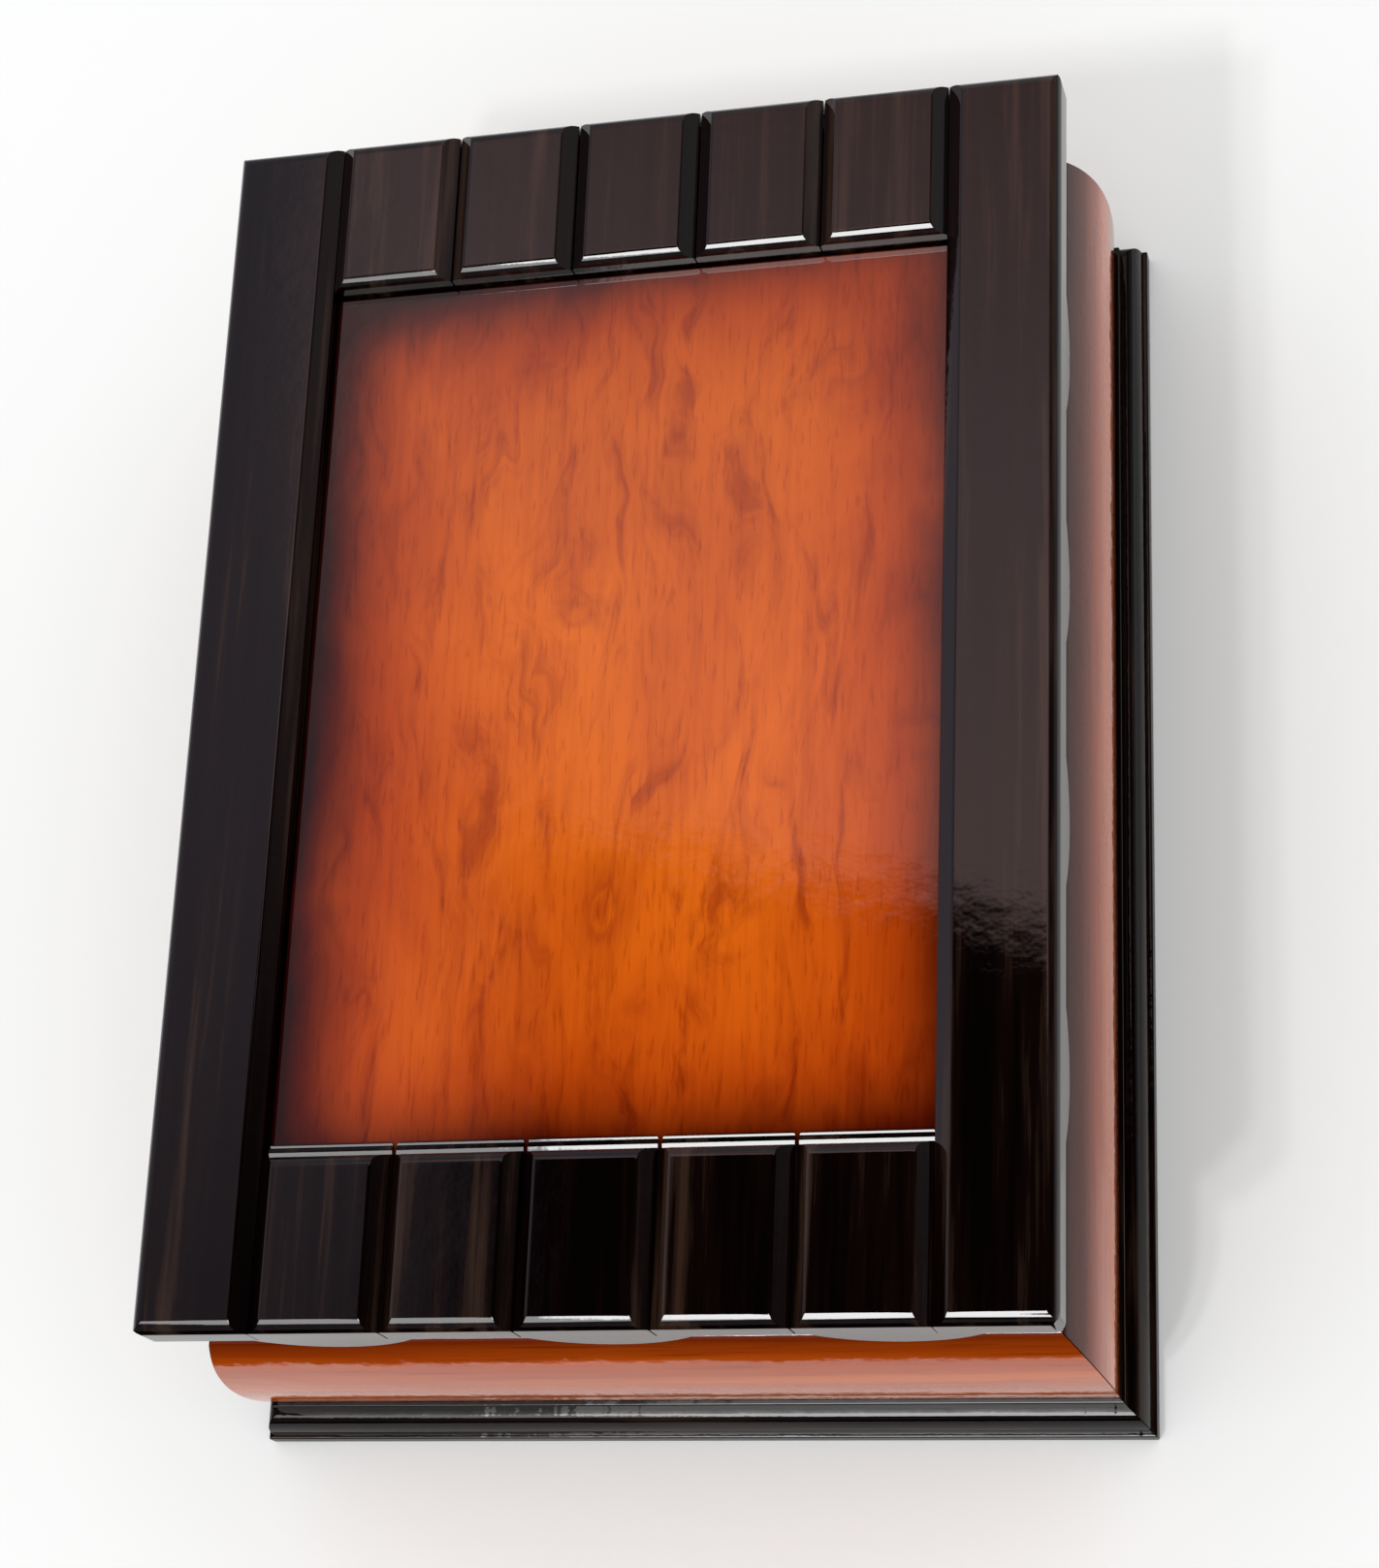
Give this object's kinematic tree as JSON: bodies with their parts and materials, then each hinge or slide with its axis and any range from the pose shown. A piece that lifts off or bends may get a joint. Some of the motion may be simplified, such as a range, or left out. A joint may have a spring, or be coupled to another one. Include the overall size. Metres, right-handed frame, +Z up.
{
  "type": "wooden puzzle box",
  "caption": "Lacquered wooden box with a bowed body, stepped base and framed lid; sliding end blocks hide the keyhole and a small key drawer.",
  "frame": {"origin": "middle of the footprint, on the surface the box stands on", "axes": "+X to the right seen from the front (keyhole end), +Y towards the hinges, +Z up"},
  "size_m": [0.16, 0.225, 0.078],
  "materials": {
    "dark_lacquer": "black-brown gloss lacquer over striped wood",
    "amber_lacquer": "orange-brown gloss lacquer",
    "figured_veneer": "figured veneer under gloss lacquer, border shaded dark",
    "bare_wood": "planed, unfinished",
    "brass": "satin brass",
    "steel": "plain steel",
    "felt": "wine-red felt"
  },
  "bodies": {
    "box": {"base_front": "dark_lacquer", "base_right": "dark_lacquer", "base_rear": "dark_lacquer", "base_left": "dark_lacquer", "floor_board": "bare_wood", "felt_lining": "felt", "wall_front": "amber_lacquer", "wall_right": "amber_lacquer", "wall_rear": "amber_lacquer", "wall_left": "amber_lacquer", "strike_plate": "brass", "hinge_leaf_body_left": "brass", "hinge_leaf_body_right": "brass", "hinge_pin_left": "steel", "hinge_pin_right": "steel"},
    "lid": {"lid_rail_left": "dark_lacquer", "lid_rail_right": "dark_lacquer", "apron_front": "dark_lacquer", "apron_rear": "dark_lacquer", "apron_left": "dark_lacquer", "apron_right": "dark_lacquer", "front_block_2": "dark_lacquer", "front_block_4": "dark_lacquer", "front_block_5": "dark_lacquer", "rear_block_1": "dark_lacquer", "rear_block_2": "dark_lacquer", "rear_block_3": "dark_lacquer", "rear_block_4": "dark_lacquer", "rear_block_5": "dark_lacquer", "lid_panel": "figured_veneer", "lid_board": "bare_wood", "side_batten_left": "bare_wood", "side_batten_right": "bare_wood", "front_batten_left": "bare_wood", "front_batten_right": "bare_wood", "rear_batten": "bare_wood", "drawer_guide": "bare_wood", "panel_bearer_front": "bare_wood", "panel_bearer_rear": "bare_wood", "keyhole_block": "bare_wood", "hinge_leaf_lid_left": "brass", "hinge_leaf_lid_right": "brass", "keyhole_plate": "brass", "lock_case": "steel"},
    "keyhole_cover": {"front_block_3": "dark_lacquer", "cover_runner_left": "bare_wood", "cover_runner_right": "bare_wood"},
    "key_drawer": {"front_block_1": "dark_lacquer", "key_drawer_tray": "bare_wood", "key": "brass"},
    "lock_plug": {"lock_plug": "brass"},
    "lock_bolt": {"lock_bolt": "steel"}
  },
  "joints": [
    {"name": "lid_hinge", "type": "hinge", "parent": "box", "child": "lid", "pos_m": [0, 0.103, 0.05725], "axis": [-1, 0, 0], "range_deg": [0, 95]},
    {"name": "keyhole_cover_slide", "type": "slide", "parent": "lid", "child": "keyhole_cover", "axis": [0, -1, 0], "range_m": [0, 0.02]},
    {"name": "key_drawer_slide", "type": "slide", "parent": "lid", "child": "key_drawer", "axis": [0, -1, 0], "range_m": [0, 0.045]},
    {"name": "lock_turn", "type": "hinge", "parent": "lid", "child": "lock_plug", "pos_m": [0, -0.0856, 0.0644], "axis": [0, 0, -1], "range_deg": [0, 70]},
    {"name": "bolt_slide", "type": "slide", "parent": "lid", "child": "lock_bolt", "axis": [0, -1, 0], "range_m": [0, 0.00282]}
  ],
  "couplings": [
    {"joint": "lock_turn", "follows": "bolt_slide", "rad_per_m": 432.9}
  ]
}
